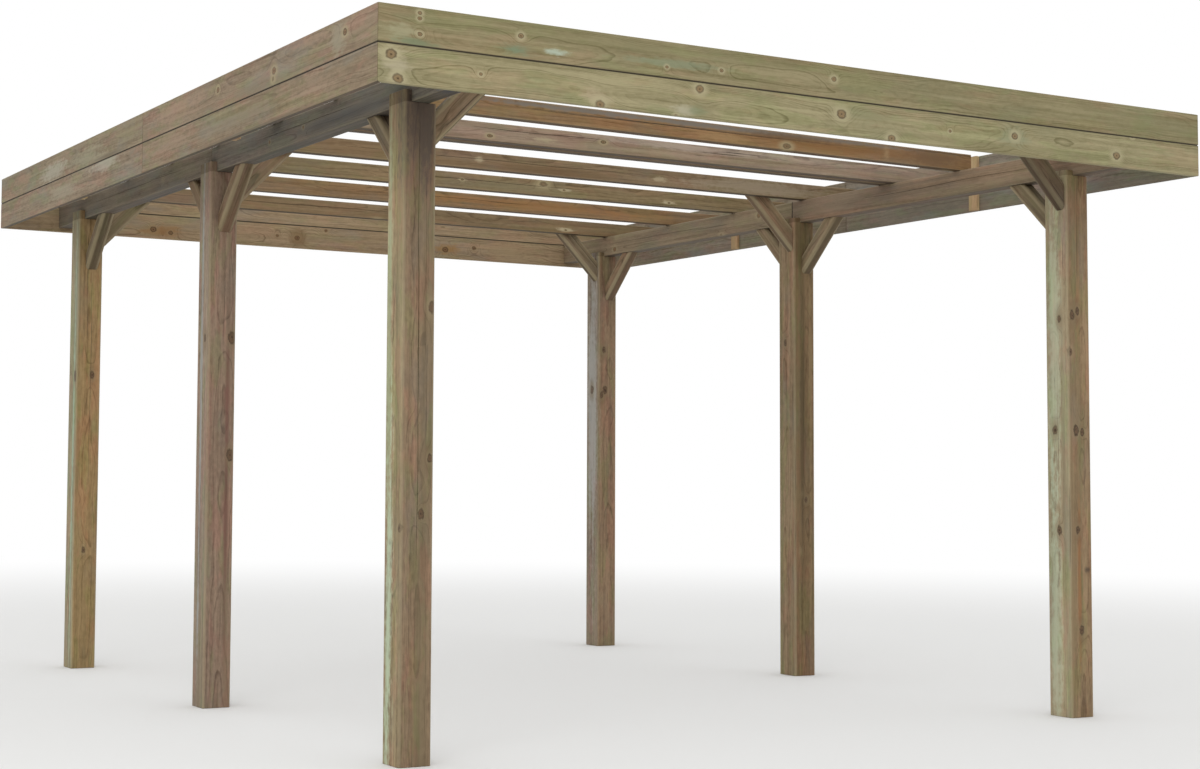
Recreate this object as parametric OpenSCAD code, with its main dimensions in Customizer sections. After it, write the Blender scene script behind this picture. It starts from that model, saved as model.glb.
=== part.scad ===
// Open timber carport frame: six square posts in two rows, a beam in the rebated heads of each row,
// cross rafters on the beams, a two-board fascia on all four sides and a knee brace in every corner.
// The roof has no covering: it is an open frame.
// Frame: X across the bay, Y from the front (-Y) to the back, Z up, origin at ground level in the middle.

/* [Plan] */
// Width over the fascias
frame_w = 3665; // [3200:5:4200]
// Depth over the fascias
frame_d = 4254; // [3540:2:5106]
// From the outer face of a row of posts to the outer face of the side fascia
side_overhang = 265; // [180:5:360]
// From the end post to the outer face of the front or back fascia
end_overhang = 330; // [220:5:420]

/* [Posts] */
// Side of the square posts
post_w = 120; // [108:2:150]
// Radius of the post arrises
post_arris = 8; // [4:1:14]
// Height of the rebate in the post heads, on which the beams lie
beam_seat_z = 2185; // [1900:5:2600]
// Width of the rebate in the left row, which leaves a tongue on the post's left side
rebate_w_left = 93; // [72:1:98]
// Width of the rebate in the right row
rebate_w_right = 84; // [72:1:98]
// How far the tongues stand above the rebate in the left row
tongue_h_left = 40; // [10:1:60]
// How far the tongues stand above the rebate in the right row
tongue_h_right = 20; // [10:1:60]

/* [Beams and rafters] */
// Thickness of the beams
beam_t = 70; // [50:1:72]
// Height of the beams
beam_h = 106; // [90:1:160]
// Thickness of the rafters
rafter_t = 45; // [34:1:60]
// Height of the rafters
rafter_h = 75; // [60:1:110]
// Gap between the two rafters of the pair
pair_gap = 24; // [4:1:60]
// Play at the left end of the second rafter, which stands askew
rafter_play = 2; // [1.5:0.5:4]
// Radius of the beam and rafter arrises
timber_arris = 4; // [2:1:8]

/* [Rafter places] */
// Left end of the second rafter, behind an even third of the front bay
rafter_2_shift = 20; // [-60:2:90]
// How far back the second rafter's right end stands
rafter_2_lean = 86; // [0:2:100]
// Pair of rafters, behind an even two thirds of the front bay
pair_shift = 4; // [-60:2:60]
// Sixth rafter, behind an even third of the back bay
rafter_6_shift = -32; // [-90:2:60]
// Seventh rafter, behind an even two thirds of the back bay
rafter_7_shift = -36; // [-90:2:60]

/* [Braces] */
// Thickness of the braces from a post to a rafter
rafter_brace_t = 50; // [40:1:64]
// Depth of those braces, square to their slope
rafter_brace_d = 82; // [60:1:98]
// Thickness of the braces from a post to a beam
beam_brace_t = 62; // [46:1:70]
// Depth of those braces, square to their slope
beam_brace_d = 64; // [50:1:90]
// How far a brace runs out from its post, and as far up
brace_reach = 250; // [200:2:330]
// Radius of the brace arrises
brace_arris = 14; // [4:1:18]
// Distance of a rafter brace behind its post's front face
brace_set_back = 12; // [2:1:26]
// How far a rafter brace runs up behind its rafter
brace_lap = 55; // [20:1:70]

/* [Fascia] */
// Height of one fascia board
board_h = 123.5; // [100:0.5:150]
// Thickness of the fascia boards
board_t = 22; // [18:1:28]
// Gap between the lower and the upper board
board_gap = 1; // [0:0.5:4]
// Distance of the fascia's lower edge below the rebates
fascia_drop = 20; // [5:1:40]
// Gap where two lengths of a side fascia board meet
joint_gap = 1; // [0.5:0.5:4]
// Back end of the left fascia's front boards, behind the middle of the depth
joint_left_y = 25; // [-40:1:90]
// Back end of the right fascia's front boards, behind the middle of the depth
joint_right_y = -12; // [-90:1:90]
// Width of the cleats behind the side fascias
cleat_w = 50; // [35:1:70]
// Thickness of those cleats
cleat_t = 18; // [12:1:25]
// From the middle of a back cleat to the front face of the rafter behind it
cleat_before_rafter = 148; // [60:2:240]

/* [Which piece] */

/* [Hidden] */

// Every round arris is drawn with this many sides, above the count at which a circle counts as a polygon
$fn = 48;

// Posts, measured to their left and front faces
row_left_x = -frame_w / 2 + side_overhang;
row_right_x = frame_w / 2 - side_overhang - post_w;
post_front_y = -frame_d / 2 + end_overhang;
post_back_y = frame_d / 2 - end_overhang - post_w;
post_middle_y = -post_w / 2;

// Left faces of the beams, which lie against the tongues
beam_left_x = row_left_x + post_w - rebate_w_left;
beam_right_x = row_right_x + post_w - rebate_w_right;

// Levels
fascia_z = beam_seat_z - fascia_drop;
rafter_z = beam_seat_z + beam_h;
fascia_h = 2 * board_h + board_gap;

// Insides of the fascia boards
inside_x = frame_w / 2 - board_t;
inside_y = frame_d / 2 - board_t;

// Front faces of the eight rafters; the first, fifth and last lie against the rafter braces
first_y = post_front_y + brace_set_back - rafter_t;
middle_y = post_middle_y + brace_set_back - rafter_t;
last_y = post_back_y + brace_set_back - rafter_t;
front_step = (middle_y - first_y) / 3;
back_step = (last_y - middle_y) / 3;
rafter_2_y = first_y + front_step + rafter_2_shift;
rafter_4_y = first_y + 2 * front_step + pair_shift;
rafter_3_y = rafter_4_y - pair_gap - rafter_t;
rafter_6_y = middle_y + back_step + rafter_6_shift;
rafter_7_y = middle_y + 2 * back_step + rafter_7_shift;

// Middles of the cleats, the front ones midway between the second rafter and the pair
cleat_front_y = (rafter_2_y + rafter_2_lean + rafter_4_y) / 2;
cleat_back_y = rafter_7_y - cleat_before_rafter;

module arris_section(w, h, r) {
  translate([r, 0]) square([w - 2 * r, h]);
  translate([0, r]) square([w, h - 2 * r]);
  for (cx = [r, w - r]) {
    for (cy = [r, h - r]) {
      translate([cx, cy]) circle(r = r);
    }
  }
}

// A timber lying along X, its near lower left corner at the origin
module timber_x(length, t, h, r) {
  rotate([90, 0, 90]) linear_extrude(height = length) arris_section(t, h, r);
}

// A timber lying along Y
module timber_y(length, t, h, r) {
  translate([0, length, 0]) rotate([90, 0, 0]) linear_extrude(height = length) arris_section(t, h, r);
}

// A post whose head is rebated from front to back, with a tongue left on its left side
module post(x, y, rebate_w, tongue_h) {
  color("#9a8c74")
  difference() {
    translate([x, y, 0]) {
      linear_extrude(height = beam_seat_z + tongue_h) arris_section(post_w, post_w, post_arris);
    }
    translate([x + post_w - rebate_w, y - 1, beam_seat_z]) cube([rebate_w + 1, post_w + 2, tongue_h + 1]);
  }
}

module post_front_left() post(row_left_x, post_front_y, rebate_w_left, tongue_h_left);
module post_middle_left() post(row_left_x, post_middle_y, rebate_w_left, tongue_h_left);
module post_back_left() post(row_left_x, post_back_y, rebate_w_left, tongue_h_left);
module post_front_right() post(row_right_x, post_front_y, rebate_w_right, tongue_h_right);
module post_middle_right() post(row_right_x, post_middle_y, rebate_w_right, tongue_h_right);
module post_back_right() post(row_right_x, post_back_y, rebate_w_right, tongue_h_right);

// A beam lies in two lengths, against the tongues, butted over the middle post
module beam(beam_x, start_y) {
  color("#7f7a70")
  translate([beam_x, start_y, beam_seat_z]) timber_y(inside_y, beam_t, beam_h, timber_arris);
}

module beam_left_front() beam(beam_left_x, -inside_y);
module beam_left_back() beam(beam_left_x, 0);
module beam_right_front() beam(beam_right_x, -inside_y);
module beam_right_back() beam(beam_right_x, 0);

// A rafter runs between the side fascias, on top of both beams
module rafter(y) {
  color("#8a7558")
  translate([-inside_x, y, rafter_z]) timber_x(2 * inside_x, rafter_t, rafter_h, timber_arris);
}

// The second rafter stands askew, and stops over the right beam at its outer face
module rafter_2() {
  color("#8a7558")
  translate([-inside_x + rafter_play, rafter_2_y, rafter_z]) {
    rotate([0, 0, atan(rafter_2_lean / (2 * inside_x))]) {
      timber_x(inside_x - rafter_play + beam_right_x + beam_t, rafter_t, rafter_h, timber_arris);
    }
  }
}

module rafter_1() rafter(first_y);
module rafter_3() rafter(rafter_3_y);
module rafter_4() rafter(rafter_4_y);
module rafter_5() rafter(middle_y);
module rafter_6() rafter(rafter_6_y);
module rafter_7() rafter(rafter_7_y);
module rafter_8() rafter(last_y);

// A knee brace at 45 degrees: foot on the plane x = 0, running out along +X, its level head lap
// above the plane z = 0
module brace(t, d, lap) {
  color("#8a7a62")
  intersection() {
    translate([0, 0, -brace_reach]) rotate([0, -45, 0]) translate([-d, 0, 0]) {
      timber_x((brace_reach + lap) * sqrt(2) + 2 * d, t, d, brace_arris);
    }
    translate([0, -1, -brace_reach - 1]) cube([brace_reach + lap + 1, t + 2, brace_reach + lap + 1]);
  }
}

// From a post's inner face up against the back face of the rafter before it
module brace_inward_left(post_y) {
  translate([row_left_x + post_w, post_y + brace_set_back, rafter_z]) {
    brace(rafter_brace_t, rafter_brace_d, brace_lap);
  }
}
module brace_inward_right(post_y) {
  translate([row_right_x, post_y + brace_set_back, rafter_z]) {
    mirror([1, 0, 0]) brace(rafter_brace_t, rafter_brace_d, brace_lap);
  }
}
// From a post's back face to the beam over it, flush with the beam's right face
module brace_rearward(beam_x, post_y) {
  translate([beam_x + beam_t, post_y + post_w, beam_seat_z]) {
    rotate([0, 0, 90]) brace(beam_brace_t, beam_brace_d, 0);
  }
}
// From a post's front face to the beam over it
module brace_forward(beam_x, post_y) {
  translate([beam_x + beam_t - beam_brace_t, post_y, beam_seat_z]) {
    rotate([0, 0, -90]) brace(beam_brace_t, beam_brace_d, 0);
  }
}

module brace_front_left_inward() brace_inward_left(post_front_y);
module brace_middle_left_inward() brace_inward_left(post_middle_y);
module brace_back_left_inward() brace_inward_left(post_back_y);
module brace_front_right_inward() brace_inward_right(post_front_y);
module brace_middle_right_inward() brace_inward_right(post_middle_y);
module brace_back_right_inward() brace_inward_right(post_back_y);
module brace_front_left_along() brace_rearward(beam_left_x, post_front_y);
module brace_middle_left_rearward() brace_rearward(beam_left_x, post_middle_y);
module brace_front_right_along() brace_rearward(beam_right_x, post_front_y);
module brace_middle_right_rearward() brace_rearward(beam_right_x, post_middle_y);
module brace_middle_left_forward() brace_forward(beam_left_x, post_middle_y);
module brace_back_left_along() brace_forward(beam_left_x, post_back_y);
module brace_middle_right_forward() brace_forward(beam_right_x, post_middle_y);
module brace_back_right_along() brace_forward(beam_right_x, post_back_y);

// A front fascia board, mitred at both ends; turned half round it is a back one
module fascia_end(level) {
  color("#a59b78")
  translate([0, 0, fascia_z + level * (board_h + board_gap)]) linear_extrude(height = board_h) polygon([
    [-frame_w / 2, -frame_d / 2],
    [frame_w / 2, -frame_d / 2],
    [inside_x, -inside_y],
    [-inside_x, -inside_y]
  ]);
}

// The front length of a left fascia board, mitred at the corner and square at the joint
module fascia_side(level, joint_y) {
  color("#a08d70")
  translate([0, 0, fascia_z + level * (board_h + board_gap)]) linear_extrude(height = board_h) polygon([
    [-frame_w / 2, -frame_d / 2],
    [-inside_x, -inside_y],
    [-inside_x, joint_y],
    [-frame_w / 2, joint_y]
  ]);
}

module fascia_front_lower() fascia_end(0);
module fascia_front_upper() fascia_end(1);
module fascia_back_lower() rotate([0, 0, 180]) fascia_end(0);
module fascia_back_upper() rotate([0, 0, 180]) fascia_end(1);
module fascia_left_lower_front() fascia_side(0, joint_left_y);
module fascia_left_upper_front() fascia_side(1, joint_left_y);
module fascia_left_lower_back() mirror([0, 1, 0]) fascia_side(0, -joint_left_y - joint_gap);
module fascia_left_upper_back() mirror([0, 1, 0]) fascia_side(1, -joint_left_y - joint_gap);
module fascia_right_lower_front() mirror([1, 0, 0]) fascia_side(0, joint_right_y);
module fascia_right_upper_front() mirror([1, 0, 0]) fascia_side(1, joint_right_y);
module fascia_right_lower_back() rotate([0, 0, 180]) fascia_side(0, -joint_right_y - joint_gap);
module fascia_right_upper_back() rotate([0, 0, 180]) fascia_side(1, -joint_right_y - joint_gap);

// Upright cleats tie the lower and upper boards of the side fascias together
module fascia_cleats() {
  color("#b79a6c")
  for (x = [-inside_x, inside_x - cleat_t]) {
    for (y = [cleat_front_y, cleat_back_y]) {
      translate([x, y - cleat_w / 2, fascia_z]) cube([cleat_t, cleat_w, fascia_h]);
    }
  }
}

post_front_left();
post_middle_left();
post_back_left();
post_front_right();
post_middle_right();
post_back_right();
beam_left_front();
beam_left_back();
beam_right_front();
beam_right_back();
rafter_1();
rafter_2();
rafter_3();
rafter_4();
rafter_5();
rafter_6();
rafter_7();
rafter_8();
brace_front_left_inward();
brace_front_left_along();
brace_middle_left_inward();
brace_middle_left_forward();
brace_middle_left_rearward();
brace_back_left_inward();
brace_back_left_along();
brace_front_right_inward();
brace_front_right_along();
brace_middle_right_inward();
brace_middle_right_forward();
brace_middle_right_rearward();
brace_back_right_inward();
brace_back_right_along();
fascia_front_lower();
fascia_front_upper();
fascia_back_lower();
fascia_back_upper();
fascia_left_lower_front();
fascia_left_lower_back();
fascia_left_upper_front();
fascia_left_upper_back();
fascia_right_lower_front();
fascia_right_lower_back();
fascia_right_upper_front();
fascia_right_upper_back();
fascia_cleats();
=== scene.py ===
import math

import bmesh
import bpy
from mathutils import Matrix, Vector, noise


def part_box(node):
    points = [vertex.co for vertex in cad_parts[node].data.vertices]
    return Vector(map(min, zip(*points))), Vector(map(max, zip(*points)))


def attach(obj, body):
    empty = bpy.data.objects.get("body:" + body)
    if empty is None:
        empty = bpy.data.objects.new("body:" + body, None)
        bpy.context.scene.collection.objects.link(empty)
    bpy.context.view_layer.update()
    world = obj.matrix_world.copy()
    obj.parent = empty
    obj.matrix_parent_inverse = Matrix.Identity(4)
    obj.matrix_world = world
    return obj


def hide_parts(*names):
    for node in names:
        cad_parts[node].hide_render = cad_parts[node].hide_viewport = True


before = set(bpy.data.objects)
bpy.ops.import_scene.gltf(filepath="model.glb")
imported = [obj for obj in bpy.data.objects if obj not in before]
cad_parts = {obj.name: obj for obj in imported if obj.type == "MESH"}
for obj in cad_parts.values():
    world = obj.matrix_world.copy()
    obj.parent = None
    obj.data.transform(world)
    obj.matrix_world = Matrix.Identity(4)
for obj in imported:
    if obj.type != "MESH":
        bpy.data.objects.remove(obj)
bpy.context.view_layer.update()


# ---------------------------------------------------------------- posts
# Six sawn softwood posts with rounded arrises stand straight on the ground.  Each head is
# rebated from front to back, so that the beam sits against the tongue that is left.  They were
# pressure treated, have weathered in stripes, and have split as they dried.
post_seat_z = 2.185
post_arris = 0.008
tongue_left_row = 0.027
tongue_right_row = 0.036
soften = 0.0015

# how near counts as touching, how squarely a face has to look one way, and the least crease
near = 1e-5
square_on = 0.999
crease_angle = math.radians(42)

# what all the timber has in common: lengths in metres, then colours
seed_step = (3.71, 1.37, 2.23)
knot_spacing = (0.31, 0.13, 0.13)
knot_bulge = 0.024
ring_wobble = 0.010
end_grain_reach = (0.0026, 0.0008)
seam_shadow_reach = (0.0042, 0.0012)
grain_relief = 0.0012
greener = (0.92, 1.06, 0.90, 1)
pinker = (1.10, 0.95, 0.98, 1)
check_colour = (0.022, 0.016, 0.011, 1)
crack_shadow_colour = (0.008, 0.006, 0.005, 1)
end_grain_tint = (0.50, 0.45, 0.40, 1)
seam_shadow_colour = (0.032, 0.025, 0.017, 1)


class Shade:
    """One socket of a material, so that its maths reads as plain expressions."""

    def __init__(self, tree, socket=None):
        self.tree = tree
        self.socket = socket

    def node(self, kind, settings=None, values=None, output=0):
        made = self.tree.nodes.new(kind)
        for name, setting in (settings or {}).items():
            if name != "stops":
                setattr(made, name, setting)
                continue
            for place, (position, colour) in enumerate(setting):
                elements = made.color_ramp.elements
                stop = elements[place] if place < 2 else elements.new(position)
                stop.position = position
                stop.color = colour
        for name, value in (values or {}).items():
            if isinstance(value, Shade):
                self.tree.links.new(made.inputs[name], value.socket)
            else:
                made.inputs[name].default_value = value
        return Shade(self.tree, made.outputs[output]) if made.outputs else None

    def other(self, output):
        return Shade(self.tree, self.socket.node.outputs[output])

    def maths(self, operation, *others):
        values = dict(enumerate((self, *others)))
        return self.node("ShaderNodeMath", {"operation": operation}, values)

    def vector(self, operation, *others, output=0):
        values = dict(enumerate((self, *others)))
        return self.node("ShaderNodeVectorMath", {"operation": operation}, values, output)

    def __add__(self, other):
        return self.maths("ADD", other)

    __radd__ = __add__

    def __mul__(self, other):
        return self.maths("MULTIPLY", other)

    __rmul__ = __mul__

    def __sub__(self, other):
        return self.maths("SUBTRACT", other)

    def __rsub__(self, other):
        return self.node("ShaderNodeMath", {"operation": "SUBTRACT"}, {0: other, 1: self})

    def __truediv__(self, other):
        return self.maths("DIVIDE", other)

    def __rtruediv__(self, other):
        return self.node("ShaderNodeMath", {"operation": "DIVIDE"}, {0: other, 1: self})

    def __pow__(self, other):
        return self.maths("POWER", other)

    def ease(self, low, high):
        """Rises smoothly from 0 to 1 between low and high, or falls if high is the lower."""
        settings = {"interpolation_type": "SMOOTHSTEP"}
        return self.node(
            "ShaderNodeMapRange", settings, {"Value": self, "From Min": low, "From Max": high}
        )

    def towards(self, colour, share, blend="MIX"):
        """This colour mixed with another one by a share from 0 to 1."""
        settings = {"data_type": "RGBA", "blend_type": blend, "clamp_factor": True}
        return self.node("ShaderNodeMix", settings, {0: share, 6: self, 7: colour}, 2)

    def noise(self, stretch, detail=2.0, roughness=0.5, output=0):
        """Soft noise whose features are 1 / stretch metres long in each direction."""
        values = {
            "Vector": self.vector("MULTIPLY", stretch),
            "Scale": 1.0,
            "Detail": detail,
            "Roughness": roughness,
        }
        return self.node("ShaderNodeTexNoise", {}, values, output)


def timber_finish(
    name,
    lie,
    size,
    pale,
    dark,
    seed,
    arris=0.004,
    pith=(0.03, 0.05),
    slope=(0.004, 0.004),
    ring=0.0042,
    sway=0.02,
    line=0.55,
    loudest=0.4,
    knot_size=0.015,
    knot_share=0.5,
    knot_stretch=1.25,
    raggedness=0.8,
    knots=(),
    knot_colour=(0.16, 0.073, 0.027),
    halo_colour=(0.352, 0.291, 0.163),
    halo=0.35,
    band_colour=(0.16, 0.13, 0.068),
    band=0.35,
    grey_colour=(0.208, 0.191, 0.15),
    grey=0.25,
    face_shades=(),
    marks=(),
    arris_highlight_colour=(0.32, 0.26, 0.163),
    arris_highlight_share=0.5,
    checks=0.5,
    mottle=0.5,
    seam_shadow_sides=(),
):
    """A sawn softwood timber: growth rings about a pith, knots, streaks, stains and weathering,
    with painted light and shade on its faces, arrises, cracks and seams.

    lie is the matrix that lays the bar in its place, and the pattern is worked out along the
    bar in metres, so that end grain, faces and arrises belong to one piece of wood.
    """
    finish = bpy.data.materials.new(name)
    finish.use_nodes = True
    tree = finish.node_tree
    tree.nodes.clear()
    start = Shade(tree)

    # the place along, through and up the bar, from its middle
    turn = lie.to_3x3().transposed()
    middle = lie @ (Vector(size) / 2)
    coordinates = start.node("ShaderNodeTexCoord", output="Object")
    values = {"Vector": coordinates, "Rotation": turn.to_euler(), "Location": -(turn @ middle)}
    place = start.node("ShaderNodeMapping", {"vector_type": "POINT"}, values)
    own = place.vector("ADD", Vector([step * seed for step in seed_step]))
    split = place.node("ShaderNodeSeparateXYZ", {}, {"Vector": place})
    along, through, up = split, split.other(1), split.other(2)

    # knots: scattered ones, and those of a known place and radius
    cells = Vector([1 / spacing for spacing in knot_spacing])
    scaled = own.vector("MULTIPLY", cells)
    cell = scaled.node("ShaderNodeTexVoronoi", {}, {"Vector": scaled, "Scale": 1.0}, "Position")
    drawn_out = Vector((1 / knot_stretch, 1, 1))
    away = scaled.vector("SUBTRACT", cell).vector("DIVIDE", cells).vector("MULTIPLY", drawn_out)
    chance = cell.node("ShaderNodeSeparateColor", {}, {"Color": cell.other("Color")})
    radius = chance.other(1) * (0.7 * knot_size) + 0.3 * knot_size
    reach = away.vector("LENGTH", output="Value") / radius
    reach = reach + chance.ease(knot_share, knot_share + 0.01) * 9.0
    for point, knot_radius in knots:
        at = turn @ (Vector(point) - middle)
        away = place.vector("SUBTRACT", at).vector("MULTIPLY", drawn_out)
        reach = reach.maths("MINIMUM", away.vector("LENGTH", output="Value") / knot_radius)
    ragged = reach + (own.noise((50, 110, 110), 3.0, 0.7) - 0.5) * raggedness
    core = ragged.ease(1.10, 0.72)
    rim = ragged.ease(0.55, 0.98) * ragged.ease(1.38, 1.0)
    glow = ragged.ease(3.2, 0.9)
    push = 1.0 / (1.0 + reach * reach * 0.16)

    # growth rings about the pith, which wanders, and which the knots push aside
    wander = own.noise((1.5, 4.0, 4.0), 2.5, 0.5, 1).vector("SUBTRACT", Vector((0.5, 0.5, 0.5)))
    reach_out = sway * 2.4
    wander = wander.vector("MULTIPLY", Vector((0.0, reach_out, reach_out)))
    swayed = wander.node("ShaderNodeSeparateXYZ", {}, {"Vector": wander})
    from_pith = through + swayed.other(1) - pith[0] - along * slope[0]
    above_pith = up + swayed.other(2) - pith[1] - along * slope[1]
    distance = (from_pith * from_pith + above_pith * above_pith) ** 0.5
    wobble = own.noise((5.0, 18, 18), 3.0) * ring_wobble
    rings = (distance + push * knot_bulge + wobble) / ring
    late = rings.node(
        "ShaderNodeValToRGB",
        {
            "stops": (
                (0.0, (0.10, 0.10, 0.10, 1)),
                (0.55, (0.08, 0.08, 0.08, 1)),
                (0.84, (0.9, 0.9, 0.9, 1)),
                (0.92, (1, 1, 1, 1)),
                (1.0, (0.10, 0.10, 0.10, 1)),
            )
        },
        {"Fac": rings.maths("FRACT")},
    )
    loud = rings.node(
        "ShaderNodeTexWhiteNoise", {"noise_dimensions": "1D"}, {"W": rings.maths("FLOOR")}
    )
    late = late * (loud.ease(loudest, 1.0) * 0.85 + 0.15)

    # fibre, streaks, bands and patches, each at its own scale
    fine = own.noise((10, 330, 330), 2.0)
    streak = own.noise((1.7, 60, 60), 3.0, 0.6)
    bands = own.noise((0.30, 16, 16), 2.0)
    patch = own.noise((2.6, 8, 8), 4.0, 0.6)
    speckle = own.noise((32, 75, 75), 3.0, 0.65)
    shade = late * line + (streak - 0.5) * 1.4 + (fine - 0.5) * 0.7 + (patch - 0.5) * 0.8 + 0.28
    shade = shade + (speckle - 0.5) * mottle * 1.3
    colour = shade.node(
        "ShaderNodeMix",
        {"data_type": "RGBA"},
        {0: shade.maths("MAXIMUM", 0.0).maths("MINIMUM", 1.0), 6: (*pale, 1), 7: (*dark, 1)},
        2,
    )
    colour = colour.towards((*band_colour, 1), bands.ease(0.48, 0.66) * band)
    colour = colour.towards((*grey_colour, 1), patch.ease(0.50, 0.70) * grey)
    tinge = own.noise((4.0, 16, 16), 3.0, 0.6, 1)
    hues = tinge.node("ShaderNodeSeparateColor", {}, {"Color": tinge})
    colour = colour.towards(greener, hues.ease(0.5, 0.62) * mottle, "MULTIPLY")
    colour = colour.towards(pinker, hues.other(1).ease(0.5, 0.62) * mottle, "MULTIPLY")
    for point, spread, stain, share in marks:
        at = turn @ (Vector(point) - middle)
        off = place.vector("SUBTRACT", at).vector("DIVIDE", Vector(spread))
        edge = off.vector("LENGTH", output="Value") + (patch - 0.5) * 1.2
        edge = edge + (streak - 0.5) * 1.3 + (speckle - 0.5) * 1.3
        colour = colour.towards((*stain, 1), edge.ease(1.05, 0.2) * share)

    # painted light and shade: each face is made lighter or darker, and tinted, by the way it
    # faces
    facing = coordinates.other("Normal")
    for direction, face_shade_tint in face_shades:
        turned = facing.vector("DOT_PRODUCT", Vector(direction), output="Value")
        colour = colour.towards((*face_shade_tint, 1), turned.ease(0.35, 0.9), "MULTIPLY")

    # knots, a painted highlight along the arrises, fine checks, painted shade in the open cracks,
    # and end grain
    colour = colour.towards((*halo_colour, 1), glow * halo)
    heart = (ragged * 2.6).maths("FRACT") * 0.35
    colour = colour.towards((*knot_colour, 1), core * (0.92 - heart))
    dark_edge = tuple(part * 0.30 for part in knot_colour)
    colour = colour.towards((*dark_edge, 1), rim * (0.45 + 0.40 * chance))
    colour = colour.towards((*dark_edge, 1), ragged.ease(0.42, 0.1) * 0.8)
    # painted highlight along the rounded arrises, broken up in patches
    edge_through = through.maths("ABSOLUTE") - (size[1] / 2 - arris)
    edge_up = up.maths("ABSOLUTE") - (size[2] / 2 - arris)
    corner = edge_through.maths("MINIMUM", edge_up).ease(-0.35 * arris, 0.30 * arris)
    arris_highlight = corner * (patch.ease(0.30, 0.62) * 0.7 + 0.3) * arris_highlight_share
    colour = colour.towards((*arris_highlight_colour, 1), arris_highlight)
    check = own.noise((1.3, 115, 115), 1.0).ease(0.69, 0.75) * patch.ease(0.44, 0.56) * checks
    colour = colour.towards(check_colour, check)
    # painted shade inside the open cracks, read from the crack attribute of the mesh
    crack = start.node("ShaderNodeAttribute", {"attribute_name": "crack"}, {}, "Fac")
    colour = colour.towards(crack_shadow_colour, crack.ease(0.15, 0.8))
    end = along.maths("ABSOLUTE").ease(*(size[0] / 2 - reach for reach in end_grain_reach))
    colour = colour.towards(end_grain_tint, end * (0.6 + late * 0.4), "MULTIPLY")
    # painted shadow in the joint, along the edge where one board meets the next
    for side in seam_shadow_sides:
        seam_shadow = (up * side).ease(*(size[2] / 2 - reach for reach in seam_shadow_reach))
        colour = colour.towards(seam_shadow_colour, seam_shadow * 0.85)

    rough = 0.74 + (streak - 0.5) * 0.35 + check * 0.15 - core * 0.12
    height = late * 0.45 + fine * 0.55 + streak * 0.5 - check * 1.6 + core * 0.5 - rim * 0.6
    values = {"Strength": 0.5, "Distance": grain_relief, "Height": height}
    bump = start.node("ShaderNodeBump", {}, values)
    surface = start.node(
        "ShaderNodeBsdfPrincipled",
        {},
        {"Base Color": colour, "Roughness": rough, "Normal": bump, "Specular IOR Level": 0.28},
    )
    start.node("ShaderNodeOutputMaterial", {}, {"Surface": surface})
    return finish


def everything(bar):
    return bar.verts[:] + bar.edges[:] + bar.faces[:]


def sawn_bar(length, thick, deep, arris, step, segments=4):
    """A bar along X from the origin, with its long arrises rounded and a loop at each step."""
    bar = bmesh.new()
    bar.verts.layers.float.new("crack")
    bmesh.ops.create_cube(bar, size=1.0)
    bmesh.ops.scale(bar, vec=(length, thick, deep), verts=bar.verts)
    bmesh.ops.translate(bar, vec=(length / 2, thick / 2, deep / 2), verts=bar.verts)
    long_edges = [
        edge
        for edge in bar.edges
        if abs(edge.verts[0].co.x - edge.verts[1].co.x) > length / 2
    ]
    bmesh.ops.bevel(
        bar,
        geom=long_edges,
        offset=arris,
        segments=segments,
        profile=0.5,
        affect="EDGES",
        material=-1,
    )
    beside = arris + soften
    for across, width in ((Vector((0, 1, 0)), thick), (Vector((0, 0, 1)), deep)):
        for place in (beside, width - beside):
            bmesh.ops.bisect_plane(
                bar, geom=everything(bar), plane_co=across * place, plane_no=across
            )
    parts = round(length / step)
    for count in range(1, parts):
        bmesh.ops.bisect_plane(
            bar,
            geom=everything(bar),
            plane_co=(length * count / parts, 0, 0),
            plane_no=(1, 0, 0),
        )
    return bar


def drying_crack(bar, outward, sideways, at, start, end, width, depth, drift=0.005):
    """Opens a crack in one face: a line of edges is bevelled, and its middle pushed in."""
    outward = Vector(outward)
    sideways = Vector(sideways)
    bar.normal_update()
    face_at = max(vert.co.dot(outward) for vert in bar.verts)
    flat = [
        face
        for face in bar.faces
        if face.normal.dot(outward) > square_on and start < face.calc_center_median().x < end
    ]
    edges = {edge for face in flat for edge in face.edges}
    verts = {vert for face in flat for vert in face.verts}
    sheet = sorted(verts, key=lambda vert: vert.index) + list(edges) + flat
    bmesh.ops.bisect_plane(bar, geom=sheet, plane_co=sideways * at, plane_no=sideways)
    line = {
        vert
        for vert in bar.verts
        if abs(vert.co.dot(sideways) - at) < near and abs(vert.co.dot(outward) - face_at) < near
    }
    chain = [edge for edge in bar.edges if edge.verts[0] in line and edge.verts[1] in line]
    first = min(vert.co.x for edge in chain for vert in edge.verts)
    last = max(vert.co.x for edge in chain for vert in edge.verts)

    def middle_at(x):
        ease = min(1.0, 8 * (x - first) / (last - first), 8 * (last - x) / (last - first))
        return at + drift * max(ease, 0.0) * noise.noise(Vector((x * 2.6, at * 50, start * 9)))

    for vert in line:
        vert.co += sideways * (middle_at(vert.co.x) - at)
    made = bmesh.ops.bevel(
        bar,
        geom=chain,
        offset=width / 2,
        segments=2,
        profile=0.5,
        affect="EDGES",
        material=-1,
    )
    crack = bar.verts.layers.float["crack"]
    for vert in made["verts"]:
        x = min(max(vert.co.x, first), last)
        open_share = max(0.0, math.sin(math.pi * (x - first) / (last - first))) ** 0.5
        off = vert.co.dot(sideways) - middle_at(x)
        if abs(off) < width * 0.2:
            vert.co -= outward * depth * open_share
            vert[crack] = open_share
        else:
            vert.co -= sideways * off * 0.85 * (1 - open_share)


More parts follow.
